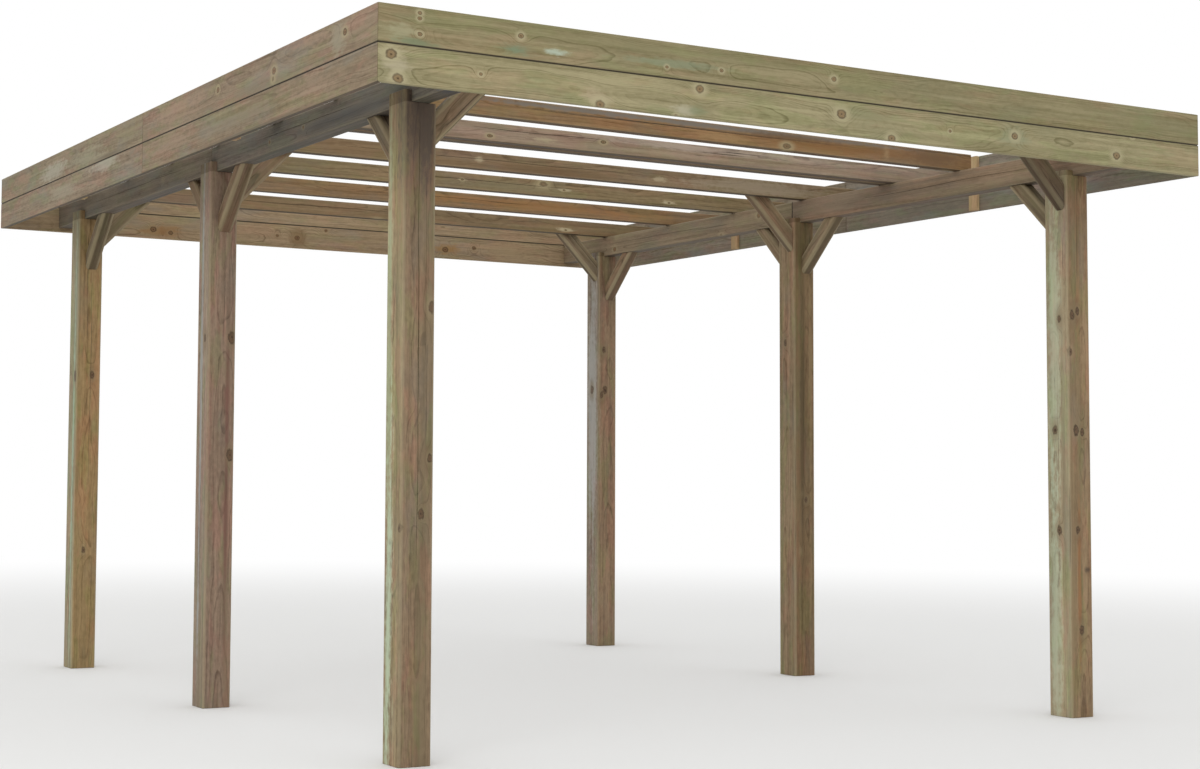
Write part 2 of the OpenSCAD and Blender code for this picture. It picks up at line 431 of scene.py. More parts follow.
def saw_off(bar, point, outward):
    """Saws the bar off on a plane and closes the cut."""
    cut = bmesh.ops.bisect_plane(
        bar, geom=everything(bar), plane_co=point, plane_no=outward, clear_outer=True
    )
    rim = [part for part in cut["geom_cut"] if isinstance(part, bmesh.types.BMEdge)]
    bmesh.ops.edgeloop_fill(bar, edges=rim)


def soften_ends(bar, outward):
    """Breaks the edge round a sawn end."""
    bar.normal_update()
    outward = Vector(outward).normalized()
    rim = [
        edge
        for edge in bar.edges
        if len(edge.link_faces) == 2
        and sum(face.normal.dot(outward) > square_on for face in edge.link_faces) == 1
    ]
    bmesh.ops.bevel(
        bar, geom=rim, offset=soften, segments=1, profile=0.5, affect="EDGES", material=-1
    )


def soften_both_ends(bar):
    """Breaks the edges round both square ends of a bar that still lies along X."""
    soften_ends(bar, (1, 0, 0))
    soften_ends(bar, (-1, 0, 0))


def fix(name, bar, nodes, finish):
    """Turns a bar into a piece that stands for its CAD nodes."""
    bmesh.ops.recalc_face_normals(bar, faces=bar.faces)
    mesh = bpy.data.meshes.new(name)
    bar.to_mesh(mesh)
    bar.free()
    mesh.shade_smooth()
    mesh.set_sharp_from_angle(angle=crease_angle)
    mesh.materials.append(finish)
    piece = bpy.data.objects.new(name, mesh)
    bpy.context.scene.collection.objects.link(piece)
    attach(piece, "root")
    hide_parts(*nodes)


def lay(origin, length_way, thick_way):
    """The matrix that lays a bar from origin, its length and thickness pointing those ways."""
    length_way = Vector(length_way).normalized()
    thick_way = Vector(thick_way).normalized()
    deep_way = length_way.cross(thick_way)
    turn = Matrix((length_way, thick_way, deep_way)).transposed().to_4x4()
    return Matrix.Translation(origin) @ turn


front, left, up, down = (0, -1, 0), (-1, 0, 0), (0, 0, 1), (0, 0, -1)
# left faces of each row's posts, and front faces of each pair
left_row_x = -1.5675
right_row_x = 1.4475
front_posts_y = -1.797
middle_posts_y = -0.060
back_posts_y = 1.677
# the ways out of a post's front and left faces and across them, before it is stood up
on_front = ((0, 0, -1), (0, 1, 0))
on_left = ((0, -1, 0), (0, 0, 1))
moss = (0.288, 0.321, 0.204)
bluish = (0.24, 0.237, 0.211)
smudge = (0.125, 0.078, 0.042)
smudge_spread = (0.07, 0.026, 0.026)
# knots: place and radius; marks: place, spread, colour and share; cracks: face, place across,
# start, end, width and depth
# the tints per face are painted light and shade: the left faces lit lighter and bluer than the
# fronts
post_looks = {
    "post_front_left": dict(
        pale=(0.28, 0.199, 0.116),
        dark=(0.112, 0.073, 0.041),
        face_shades=((left, (1.25, 1.35, 1.3)), (front, (0.92, 0.9, 0.92))),
        knots=(
            ((-1.461, front_posts_y, 1.005), 0.008),
            ((-1.493, front_posts_y, 0.821), 0.010),
            ((left_row_x, -1.790, 0.776), 0.009),
        ),
        marks=(
            ((left_row_x, -1.715, 0.45), (0.75, 0.05, 0.035), (0.36, 0.40, 0.29), 0.8),
            ((left_row_x, -1.700, 1.35), (0.9, 0.03, 0.022), moss, 0.55),
            # darker towards the head of the post
            ((-1.50, front_posts_y, 2.2), (0.42, 0.09, 0.09), (0.06, 0.046, 0.041), 0.75),
        ),
        cracks=(
            (*on_front, 0.058, 0.62, 2.12, 0.0030, 0.014),
            (*on_front, 0.084, 1.30, 1.95, 0.0014, 0.007),
            (*on_left, 0.045, 0.55, 1.05, 0.0014, 0.007),
        ),
    ),
    "post_middle_left": dict(
        pale=(0.264, 0.191, 0.126),
        dark=(0.104, 0.069, 0.044),
        face_shades=((left, (1.2, 1.25, 1.33)), (front, (1.04, 1.0, 1.04))),
        knots=(
            ((-1.464, middle_posts_y, 1.502), 0.014),
            ((-1.465, middle_posts_y, 1.022), 0.013),
            ((left_row_x, -0.024, 1.500), 0.009),
        ),
        marks=(
            ((left_row_x, 0.01, 1.2), (1.5, 0.03, 0.018), bluish, 0.75),
            ((-1.48, middle_posts_y, 1.0), (0.9, 0.012, 0.03), (0.128, 0.057, 0.042), 0.7),
        ),
        cracks=(
            (*on_front, 0.066, 1.45, 2.02, 0.0018, 0.009),
            (*on_left, 0.072, 0.6, 1.5, 0.0016, 0.008),
        ),
    ),
    "post_back_left": dict(
        pale=(0.304, 0.214, 0.116),
        dark=(0.136, 0.084, 0.037),
        face_shades=((left, (1.18, 1.45, 1.65)), (front, (1.12, 1.06, 0.9))),
        knots=(((left_row_x, 1.700, 1.414), 0.015), ((-1.490, back_posts_y, 1.419), 0.010)),
        marks=(((left_row_x, 1.715, 1.1), (1.4, 0.025, 0.016), moss, 0.6),),
        cracks=((*on_front, 0.07, 0.9, 1.9, 0.0016, 0.008),),
    ),
    "post_front_right": dict(
        pale=(0.288, 0.207, 0.116),
        dark=(0.128, 0.08, 0.041),
        face_shades=((left, (1.45, 1.65, 1.85)), (front, (1.05, 1.0, 0.98))),
        knots=(
            ((1.471, front_posts_y, 1.614), 0.011),
            ((1.500, front_posts_y, 1.630), 0.009),
            ((1.486, front_posts_y, 1.149), 0.012),
            ((1.520, front_posts_y, 1.140), 0.009),
            ((1.490, front_posts_y, 0.748), 0.009),
            ((1.506, front_posts_y, 0.348), 0.011),
            ((right_row_x, -1.722, 1.150), 0.011),
            ((right_row_x, -1.750, 1.600), 0.009),
            ((right_row_x, -1.740, 0.746), 0.010),
        ),
        marks=(
            ((right_row_x, -1.725, 1.5), (0.9, 0.05, 0.045), (0.31, 0.325, 0.21), 0.40),
            ((right_row_x, -1.715, 0.45), (0.7, 0.05, 0.040), (0.31, 0.325, 0.21), 0.45),
            ((right_row_x, -1.765, 1.0), (0.8, 0.03, 0.014), (0.15, 0.11, 0.06), 0.55),
            ((1.543, front_posts_y, 0.587), (0.018, 0.02, 0.014), (0.075, 0.052, 0.034), 0.85),
            ((1.497, front_posts_y, 0.55), (0.45, 0.012, 0.012), (0.24, 0.115, 0.042), 0.7),
            ((1.505, front_posts_y, 1.85), (0.5, 0.02, 0.02), (0.264, 0.145, 0.07), 0.5),
        ),
        cracks=(
            (*on_left, 0.060, 0.9, 1.5, 0.0014, 0.007),
            (*on_front, 0.082, 0.5, 1.3, 0.0014, 0.006),
        ),
    ),
    "post_middle_right": dict(
        pale=(0.24, 0.164, 0.092),
        dark=(0.104, 0.065, 0.031),
        face_shades=((left, (1.14, 1.18, 1.22)), (front, (0.88, 0.84, 0.75))),
        knots=(((1.514, middle_posts_y, 0.840), 0.008), ((right_row_x, 0.01, 1.6), 0.009)),
        marks=(
            ((1.495, middle_posts_y, 1.2), (0.9, 0.02, 0.03), (0.092, 0.065, 0.032), 0.8),
            ((1.545, middle_posts_y, 1.2), (1.2, 0.012, 0.02), (0.272, 0.199, 0.112), 0.6),
        ),
        cracks=((*on_front, 0.055, 0.7, 1.8, 0.0016, 0.008),),
    ),
    "post_back_right": dict(
        pale=(0.264, 0.18, 0.109),
        dark=(0.112, 0.069, 0.041),
        face_shades=((left, (1.06, 1.2, 1.4)), (front, (1.04, 1.02, 1.0))),
        knots=(
            ((1.493, back_posts_y, 1.428), 0.013),
            ((1.470, back_posts_y, 1.400), 0.010),
            ((1.485, back_posts_y, 1.654), 0.010),
            ((right_row_x, 1.740, 1.43), 0.013),
        ),
        marks=(((right_row_x, 1.735, 1.5), (1.2, 0.03, 0.06), (0.32, 0.291, 0.238), 0.6),),
        cracks=((*on_front, 0.06, 0.5, 1.2, 0.0014, 0.007),),
    ),
}
for seed, (node, look) in enumerate(post_looks.items(), 1):
    low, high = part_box(node)
    size = (post_seat_z, high.x - low.x, high.y - low.y)
    tongue = tongue_left_row if node.endswith("left") else tongue_right_row
    smudges = tuple((point, smudge_spread, smudge, 0.6) for point, _ in look["knots"])
    post = sawn_bar(*size, post_arris, step=0.045)
    for crack in look.pop("cracks"):
        drying_crack(post, *crack)
    bmesh.ops.bisect_plane(
        post, geom=everything(post), plane_co=(0, tongue, 0), plane_no=(0, 1, 0)
    )
    tongue_top = [
        face
        for face in post.faces
        if face.calc_center_median().x > post_seat_z - near
        and face.calc_center_median().y < tongue
    ]
    raised = bmesh.ops.extrude_face_region(post, geom=tongue_top)["geom"]
    raised = [part for part in raised if isinstance(part, bmesh.types.BMVert)]
    bmesh.ops.translate(post, vec=(high.z - post_seat_z, 0, 0), verts=raised)
    lie = lay(low, up, (1, 0, 0))
    soften_both_ends(post)
    bmesh.ops.transform(post, matrix=lie, verts=post.verts)
    finish = timber_finish(
        f"{node}_timber",
        lie,
        size,
        seed=seed,
        arris=post_arris,
        pith=(0.01, 0.015),
        ring=0.0046,
        knot_size=0.012,
        knot_share=0.35,
        knot_colour=(0.095, 0.048, 0.022),
        halo=0.2,
        band=0.5,
        mottle=0.9,
        knot_stretch=1.6,
        raggedness=1.7,
        marks=look.pop("marks") + smudges,
        **look,
    )
    fix(f"{node}_weathered", post, [node], finish)


# ---------------------------------------------------------------- beams
# Each row of posts carries a beam of two sawn lengths, laid on the rebates on edge and butted
# together over the middle post.  The left beam has gone grey and bluish, the right one is
# browner, and both have long checks where they dried.
beam_arris = 0.004
beam_left_x = left_row_x + tongue_left_row
beam_right_x = right_row_x + tongue_right_row
beam_looks = {
    "beam_left_front": dict(pale=(0.208, 0.18, 0.136), dark=(0.076, 0.067, 0.054), grey=0.55),
    "beam_left_back": dict(pale=(0.216, 0.172, 0.119), dark=(0.088, 0.069, 0.048), grey=0.4),
    "beam_right_front": dict(pale=(0.272, 0.191, 0.119), dark=(0.12, 0.077, 0.044), grey=0.2),
    "beam_right_back": dict(pale=(0.248, 0.187, 0.116), dark=(0.112, 0.08, 0.048), grey=0.2),
}
joint_shadow = ((beam_right_x, 0.0, 2.238), (0.005, 0.3, 0.3), (0.022, 0.017, 0.012), 0.85)
beam_marks = {
    "beam_left_front": (
        ((-1.52, -2.06, 2.2), (0.10, 0.09, 0.08), (0.07, 0.09, 0.14), 0.75),
        ((beam_left_x, -1.3, 2.22), (0.6, 0.03, 0.03), (0.08, 0.082, 0.085), 0.5),
    ),
    "beam_right_front": (joint_shadow,),
    "beam_right_back": (joint_shadow,),
}
for seed, (node, look) in enumerate(beam_looks.items(), 11):
    low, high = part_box(node)
    size = (high.y - low.y, high.x - low.x, high.z - low.z)
    beam = sawn_bar(*size, beam_arris, step=0.06)
    start = 0.3 + seed % 3 * 0.2
    end = 1.2 + seed % 2 * 0.4
    drying_crack(beam, (0, 1, 0), up, 0.062, start, end=1.6, width=0.0018, depth=0.009)
    drying_crack(beam, (0, -1, 0), up, 0.048, 0.5, end, width=0.0016, depth=0.008)
    soften_both_ends(beam)
    lie = lay((high.x, low.y, low.z), (0, 1, 0), (-1, 0, 0))
    bmesh.ops.transform(beam, matrix=lie, verts=beam.verts)
    finish = timber_finish(
        f"{node}_timber",
        lie,
        size,
        seed=seed,
        pith=(0.05, -0.03),
        grey_colour=(0.152, 0.153, 0.139),
        band_colour=(0.12, 0.107, 0.082),
        arris_highlight_colour=(0.288, 0.237, 0.163),
        arris_highlight_share=0.35,
        knot_size=0.013,
        # painted shade: the underside is darker
        face_shades=((down, (0.5, 0.48, 0.46)),),
        marks=beam_marks.get(node, ()),
        **look,
    )
    fix(f"{node}_weathered", beam, [node], finish)


# ---------------------------------------------------------------- rafters
# Eight sawn rafters on edge cross on top of the beams, all but the second from one side fascia to
# the other.  The second stands askew and stops over the right beam, and the third and fourth lie
# close together.  They are brown to orange brown; the third has gone pinkish grey.
rafter_thick = 0.045
rafter_deep = 0.075
rafter_arris = 0.004
rafter_looks = {
    "rafter_1": dict(pale=(0.288, 0.191, 0.102), dark=(0.12, 0.065, 0.027)),
    "rafter_2": dict(pale=(0.304, 0.186, 0.085), dark=(0.136, 0.069, 0.022)),
    "rafter_3": dict(pale=(0.355, 0.28, 0.205), dark=(0.15, 0.108, 0.08), checks=0.9),
    "rafter_4": dict(pale=(0.30, 0.225, 0.15), dark=(0.12, 0.08, 0.051)),
    "rafter_5": dict(pale=(0.235, 0.165, 0.092), dark=(0.10, 0.063, 0.032)),
    "rafter_6": dict(pale=(0.25, 0.185, 0.095), dark=(0.105, 0.070, 0.030)),
    "rafter_7": dict(pale=(0.27, 0.168, 0.082), dark=(0.115, 0.064, 0.025)),
    "rafter_8": dict(pale=(0.225, 0.158, 0.085), dark=(0.095, 0.062, 0.030)),
}
comet = (0.42, 0.35, 0.22)
# on the front faces: knots by x, z and radius; marks by x, z, spread, colour and share; cracks
# by height above the lower edge, start, end, width and depth
rafter_knots = {
    "rafter_2": ((0.516, 2.308, 0.010),),
    "rafter_3": ((-0.639, 2.312, 0.006), (-0.095, 2.335, 0.006)),
    "rafter_6": ((-0.108, 2.333, 0.004), (0.455, 2.326, 0.004), (1.072, 2.310, 0.004)),
    "rafter_8": ((1.208, 2.310, 0.004),),
}
rafter_marks = {
    "rafter_2": (
        (0.0, 2.354, (2.2, 0.03, 0.015), (0.17, 0.15, 0.125), 0.9),
        (0.0, 2.337, (1.6, 0.03, 0.004), (0.07, 0.05, 0.033), 0.7),
        (0.9, 2.325, (0.9, 0.03, 0.03), (0.21, 0.095, 0.03), 0.6),
        (0.55, 2.345, (0.30, 0.03, 0.022), (0.13, 0.075, 0.035), 0.7),
        (1.32, 2.33, (0.24, 0.03, 0.07), (0.155, 0.092, 0.048), 0.75),
        (1.06, 2.33, (0.03, 0.03, 0.05), (0.36, 0.25, 0.13), 0.5),
        (0.2, 2.315, (0.16, 0.03, 0.02), (0.34, 0.22, 0.10), 0.5),
    ),
    "rafter_3": (
        (-0.384, 2.318, (0.06, 0.02, 0.012), comet, 0.6),
        (0.3, 2.35, (0.5, 0.03, 0.02), (0.36, 0.29, 0.235), 0.5),
    ),
    "rafter_5": (
        (-0.324, 2.335, (0.035, 0.02, 0.02), comet, 0.7),
        (0.636, 2.324, (0.05, 0.02, 0.015), comet, 0.6),
        (0.05, 2.31, (0.4, 0.03, 0.03), (0.13, 0.075, 0.03), 0.6),
        (1.2, 2.33, (0.5, 0.03, 0.05), (0.27, 0.215, 0.15), 0.65),
    ),
    "rafter_6": (
        (-0.108, 2.333, (0.05, 0.02, 0.010), comet, 0.95),
        (0.455, 2.326, (0.05, 0.02, 0.010), comet, 0.95),
        (1.072, 2.310, (0.05, 0.02, 0.010), comet, 0.95),
        (0.1, 2.32, (0.5, 0.03, 0.03), (0.19, 0.165, 0.09), 0.5),
    ),
    "rafter_7": ((0.5, 2.33, (1.0, 0.03, 0.03), (0.26, 0.125, 0.04), 0.6),),
    "rafter_8": ((1.208, 2.310, (0.07, 0.02, 0.012), comet, 0.95),),
}
rafter_cracks = {
    "rafter_3": ((0.053, 1.07, 1.75, 0.0020, 0.009), (0.030, 0.35, 1.0, 0.0016, 0.008)),
}
least_askew = 0.005
for seed, (node, look) in enumerate(rafter_looks.items(), 21):
    low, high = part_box(node)
    askew = high.y - low.y - rafter_thick
    angle = math.atan2(askew, high.x - low.x) if askew > least_askew else 0.0
    thick_x = rafter_thick * math.sin(angle)
    size = ((high.x - low.x - thick_x) / math.cos(angle), rafter_thick, rafter_deep)
    rafter = sawn_bar(*size, rafter_arris, step=0.06)
    usual = ((0.044, 0.5 + seed % 4 * 0.3, 2.4, 0.0015, 0.007),)
    for crack in rafter_cracks.get(node, usual):
        drying_crack(rafter, front, up, *crack)
    end = 2.9 - seed % 3 * 0.3
    drying_crack(rafter, (0, 1, 0), up, 0.036, 1.2, end, width=0.0014, depth=0.006)
    soften_both_ends(rafter)
    corner = Vector((low.x + thick_x, low.y, low.z))
    length_way = Vector((math.cos(angle), math.sin(angle), 0))
    lie = lay(corner, length_way, (-length_way.y, length_way.x, 0))
    bmesh.ops.transform(rafter, matrix=lie, verts=rafter.verts)
    finish = timber_finish(
        f"{node}_timber",
        lie,
        size,
        seed=seed,
        pith=(0.04, 0.03),
        slope=(0.006, 0.008),
        knot_size=0.013,
        knot_share=0.6,
        halo=0.75,
        knot_colour=(0.15, 0.085, 0.035),
        knot_stretch=1.9,
        knots=[
            ((x, low.y + (x - low.x) * math.tan(angle), z), radius)
            for x, z, radius in rafter_knots.get(node, ())
        ],
        marks=[
            ((x, low.y + (x - low.x) * math.tan(angle), z), spread, stain, share)
            for x, z, spread, stain, share in rafter_marks.get(node, ())
        ],
        band_colour=(0.2, 0.115, 0.048),
        grey_colour=(0.216, 0.184, 0.143),
        arris_highlight_colour=(0.304, 0.237, 0.15),
        arris_highlight_share=0.35,
        # painted shade: the underside is much darker
        face_shades=((down, (0.32, 0.30, 0.28)),),
        **look,
    )
    fix(f"{node}_weathered", rafter, [node], finish)


# ---------------------------------------------------------------- braces
# Short knee braces at 45 degrees: from every post inward and up behind a rafter, and along the
# row to the beam, on both sides of the middle posts.  They are cut from sawn timber with well
# rounded arrises, their feet sawn to lie on the post and their heads level.
brace_arris = 0.014
brace_deep = {"inward": 0.082, "along": 0.064}
brace_ways = {
    "brace_front_left_inward": (1, 0, 0),
    "brace_middle_left_inward": (1, 0, 0),
    "brace_back_left_inward": (1, 0, 0),
    "brace_front_right_inward": (-1, 0, 0),
    "brace_middle_right_inward": (-1, 0, 0),
    "brace_back_right_inward": (-1, 0, 0),
    "brace_front_left_along": (0, 1, 0),
    "brace_middle_left_rearward": (0, 1, 0),
    "brace_front_right_along": (0, 1, 0),
    "brace_middle_right_rearward": (0, 1, 0),
    "brace_middle_left_forward": (0, -1, 0),
    "brace_back_left_along": (0, -1, 0),
    "brace_middle_right_forward": (0, -1, 0),
    "brace_back_right_along": (0, -1, 0),
}
brace_tones = {"brace_front_left_inward": 1.1, "brace_front_right_inward": 0.58}
for seed, (node, way) in enumerate(brace_ways.items(), 31):
    low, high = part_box(node)
    out = Vector(way)
    overhead = Vector(up)
    deep = brace_deep["inward" if node.endswith("inward") else "along"]
    reach = high.z - low.z
    thick_way = overhead.cross(out)
    thick = abs((high - low).dot(thick_way))
    length = reach * math.sqrt(2) + 2 * deep
    start_way = out + thick_way
    foot_x = low.x if start_way.x > 0 else high.x
    foot_y = low.y if start_way.y > 0 else high.y
    foot = Vector((foot_x, foot_y, low.z))
    length_way = (out + overhead).normalized()
    lie = lay(foot - length_way * deep, length_way, thick_way)
    brace = sawn_bar(length, thick, deep, brace_arris, step=0.08, segments=6)
    bmesh.ops.transform(brace, matrix=lie, verts=brace.verts)
    saw_off(brace, foot, -out)
    saw_off(brace, high, overhead)
    soften_ends(brace, -out)
    soften_ends(brace, overhead)
    tone = brace_tones.get(node, 0.95)
    browner = seed % 3 * 0.02
    finish = timber_finish(
        f"{node}_timber",
        lie,
        (length, thick, deep),
        seed=seed,
        pale=((0.25 + browner) * tone, 0.187 * tone, 0.112 * tone),
        dark=(0.09 * tone, 0.060 * tone, 0.030 * tone),
        arris=brace_arris,
        pith=(0.03, -0.01),
        knot_size=0.010,
        knot_share=0.3,
        band=0.45,
        # a strong painted highlight along the rounded arrises
        arris_highlight_colour=(0.32 * tone, 0.26 * tone, 0.155 * tone),
        arris_highlight_share=0.75,
        # painted shade: the underside darker, and the face towards +x a little darker
        face_shades=((down, (0.45, 0.43, 0.40)), ((1, 0, 0), (0.8, 0.8, 0.8))),
    )
    fix(f"{node}_weathered", brace, [node], finish)


# ---------------------------------------------------------------- front and back fascia
# Two planed boards, one over the other, close each end of the roof, mitred to the side boards.
# The front pair is greenish from its treatment, with bold wavy grain and round orange knots in
# pale halos.  The back pair is brown, with dark knots in orange patches.
board_arris = 0.002
front_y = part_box("fascia_front_lower")[0].y
back_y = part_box("fascia_back_lower")[0].y
end_looks = {
    "fascia_front_lower": dict(
        pale=(0.352, 0.31, 0.173),
        dark=(0.16, 0.138, 0.061),
        knots=(
            ((-1.786, front_y, 2.254), 0.0139),
            ((-1.761, front_y, 2.180), 0.0131),
            ((-1.465, front_y, 2.225), 0.005),
            ((-1.014, front_y, 2.172), 0.0131),
            ((-0.611, front_y, 2.265), 0.0123),
            ((0.005, front_y, 2.239), 0.0148),
            ((0.236, front_y, 2.172), 0.0123),
            ((0.515, front_y, 2.225), 0.005),
            ((0.838, front_y, 2.236), 0.0115),
            ((1.373, front_y, 2.208), 0.0131),
        ),
        marks=(
            ((-1.77, front_y, 2.215), (0.07, 0.03, 0.075), (0.416, 0.367, 0.252), 0.7),
            ((-0.67, front_y, 2.186), (0.07, 0.03, 0.03), (0.4, 0.375, 0.259), 0.8),
            ((-0.62, front_y, 2.19), (0.05, 0.03, 0.03), (0.192, 0.214, 0.112), 0.7),
            ((-1.03, front_y, 2.19), (0.06, 0.03, 0.035), (0.4, 0.337, 0.21), 0.7),
            ((0.838, front_y, 2.236), (0.09, 0.03, 0.05), (0.24, 0.26, 0.154), 0.6),
            ((0.10, front_y, 2.25), (0.16, 0.03, 0.04), (0.208, 0.214, 0.112), 0.45),
        ),
        # painted shade: the front face a little darker
        face_shades=((front, (0.95, 0.94, 0.94)),),
    ),
    "fascia_front_upper": dict(
        pale=(0.28, 0.237, 0.129),
        dark=(0.128, 0.107, 0.044),
        knots=(
            ((-1.686, front_y, 2.395), 0.0057),
            ((-1.686, front_y, 2.378), 0.0057),
            ((-1.685, front_y, 2.328), 0.0057),
            ((-1.318, front_y, 2.365), 0.0074),
            ((-0.747, front_y, 2.326), 0.005),
            ((-0.029, front_y, 2.361), 0.0082),
            ((-0.52, front_y, 2.338), 0.0057),
        ),
        marks=(
            ((-1.75, front_y, 2.33), (0.07, 0.03, 0.04), (0.33, 0.33, 0.20), 0.5),
            ((-1.70, front_y, 2.30), (0.09, 0.03, 0.02), (0.16, 0.191, 0.105), 0.8),
            ((-1.33, front_y, 2.318), (0.09, 0.03, 0.022), (0.16, 0.214, 0.126), 0.8),
            ((-1.19, front_y, 2.325), (0.06, 0.03, 0.015), (0.384, 0.444, 0.35), 0.85),
            ((-0.72, front_y, 2.34), (0.25, 0.03, 0.02), (0.192, 0.229, 0.14), 0.6),
        ),
    ),
    "fascia_back_lower": dict(
        pale=(0.345, 0.25, 0.148),
        dark=(0.15, 0.098, 0.051),
        knots=(
            ((-1.035, back_y, 2.212), 0.012),
            ((-0.940, back_y, 2.200), 0.009),
            ((-0.217, back_y, 2.220), 0.011),
            ((-0.046, back_y, 2.271), 0.007),
            ((0.696, back_y, 2.214), 0.013),
            ((0.882, back_y, 2.234), 0.009),
        ),
        marks=(
            ((-0.99, back_y, 2.207), (0.15, 0.05, 0.04), (0.24, 0.125, 0.045), 0.85),
            ((0.70, back_y, 2.214), (0.12, 0.05, 0.045), (0.27, 0.145, 0.045), 0.9),
            ((-0.21, back_y, 2.218), (0.07, 0.05, 0.06), (0.17, 0.10, 0.045), 0.8),
            ((1.10, back_y, 2.23), (0.25, 0.05, 0.06), (0.32, 0.235, 0.13), 0.6),
        ),
    ),
    "fascia_back_upper": dict(pale=(0.325, 0.236, 0.138), dark=(0.14, 0.093, 0.048)),
}
front_pair = dict(
    knot_share=0.25,
    knot_colour=(0.19, 0.108, 0.042),
    halo_colour=(0.4, 0.352, 0.211),
    halo=0.75,
    grey_colour=(0.24, 0.237, 0.136),
)
back_pair = dict(
    knot_share=0.6,
    knot_colour=(0.14, 0.068, 0.026),
    halo_colour=(0.30, 0.20, 0.10),
    halo=0.4,
    grey_colour=(0.27, 0.24, 0.20),
)
for seed, (node, look) in enumerate(end_looks.items(), 51):
    low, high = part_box(node)
    size = (high.x - low.x, high.y - low.y, high.z - low.z)
    board = sawn_bar(*size, board_arris, step=0.15, segments=3)
    lie = lay(low, (1, 0, 0), (0, 1, 0))
    bmesh.ops.transform(board, matrix=lie, verts=board.verts)
    inward = 1 if low.y < 0 else -1
    outer_y = low.y if low.y < 0 else high.y
    for end, x in ((-1, low.x), (1, high.x)):
        mitre = Vector((end, inward, 0)).normalized()
        saw_off(board, (x, outer_y, 0), mitre)
        soften_ends(board, mitre)
    finish = timber_finish(
        f"{node}_timber",
        lie,
        size,
        seed=seed,
        arris=board_arris,
        pith=(0.075, -0.01),
        slope=(0.006, 0.010),
        ring=0.0036,
        sway=0.026,
        line=0.72,
        knot_size=0.011,
        band_colour=(0.192, 0.176, 0.082),
        band=0.4,
        grey=0.3,
        arris_highlight_share=0.3,
        checks=0.1,
        loudest=0.12,
        raggedness=0.9,
        seam_shadow_sides=(1,) if "lower" in node else (-1,),
        **(front_pair if "front" in node else back_pair),
        **look,
    )
    fix(f"{node}_weathered", board, [node], finish)


# ---------------------------------------------------------------- side fascias
# The side boards are of the same section, each course of two lengths butted near the middle.
# They have weathered to a pinkish tan with greenish and whitish patches. Their inner faces
# are painted bluer and their undersides darker: painted shade.
side_looks = {
    "fascia_left_lower_front": dict(pale=(0.268, 0.199, 0.126), dark=(0.118, 0.083, 0.048)),
    "fascia_left_lower_back": dict(pale=(0.268, 0.202, 0.130), dark=(0.118, 0.086, 0.052)),
    "fascia_left_upper_front": dict(pale=(0.278, 0.204, 0.133), dark=(0.125, 0.086, 0.052)),
    "fascia_left_upper_back": dict(pale=(0.268, 0.206, 0.128), dark=(0.12, 0.090, 0.051)),
    "fascia_right_lower_front": dict(pale=(0.288, 0.214, 0.136), dark=(0.136, 0.099, 0.061)),
    "fascia_right_lower_back": dict(pale=(0.288, 0.207, 0.122), dark=(0.136, 0.092, 0.048)),
    "fascia_right_upper_front": dict(pale=(0.288, 0.214, 0.136), dark=(0.136, 0.099, 0.061)),
    "fascia_right_upper_back": dict(pale=(0.288, 0.207, 0.122), dark=(0.136, 0.092, 0.048)),
}
outer_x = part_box("fascia_left_upper_front")[0].x
side_knots = {
    "fascia_left_upper_front": (
        ((outer_x, -1.319, 2.342), 0.012),
        ((outer_x, -0.797, 2.365), 0.009),
        ((outer_x, -1.890, 2.365), 0.010),
    ),
}
whitish = (0.368, 0.344, 0.272)
side_marks = {
    "fascia_left_upper_front": (
        ((outer_x, -1.84, 2.35), (0.07, 0.03, 0.08), (0.272, 0.252, 0.175), 0.6),
        ((outer_x, -0.4, 2.35), (0.35, 0.03, 0.05), (0.31, 0.205, 0.14), 0.5),
        ((outer_x, -1.2, 2.31), (0.3, 0.03, 0.03), (0.17, 0.145, 0.09), 0.5),
        ((outer_x, -1.62, 2.38), (0.2, 0.03, 0.03), (0.31, 0.21, 0.14), 0.5),
    ),
    "fascia_left_lower_front": (
        ((outer_x, -1.0, 2.22), (0.45, 0.03, 0.04), (0.215, 0.18, 0.12), 0.6),
        ((outer_x, -0.3, 2.25), (0.3, 0.03, 0.05), (0.30, 0.205, 0.14), 0.5),
        ((outer_x, -1.65, 2.24), (0.25, 0.03, 0.04), (0.30, 0.21, 0.14), 0.5),
        ((outer_x, -1.1, 2.168), (0.7, 0.03, 0.010), (0.11, 0.092, 0.062), 0.7),
    ),
    "fascia_left_upper_back": (
        ((outer_x, 0.75, 2.33), (0.35, 0.03, 0.06), (0.288, 0.268, 0.175), 0.6),
        ((outer_x, 1.25, 2.33), (0.25, 0.03, 0.05), whitish, 0.6),
        ((outer_x, 0.2, 2.36), (0.2, 0.03, 0.05), (0.224, 0.199, 0.105), 0.6),
        ((outer_x, 0.45, 2.30), (0.3, 0.03, 0.012), (0.12, 0.10, 0.065), 0.6),
        ((outer_x, 1.75, 2.36), (0.25, 0.03, 0.04), (0.30, 0.20, 0.13), 0.5),
    ),
    "fascia_left_lower_back": (
        ((outer_x, 0.5, 2.27), (0.22, 0.03, 0.04), whitish, 0.6),
        ((outer_x, 1.1, 2.22), (0.25, 0.03, 0.04), (0.304, 0.275, 0.196), 0.5),
    ),
}
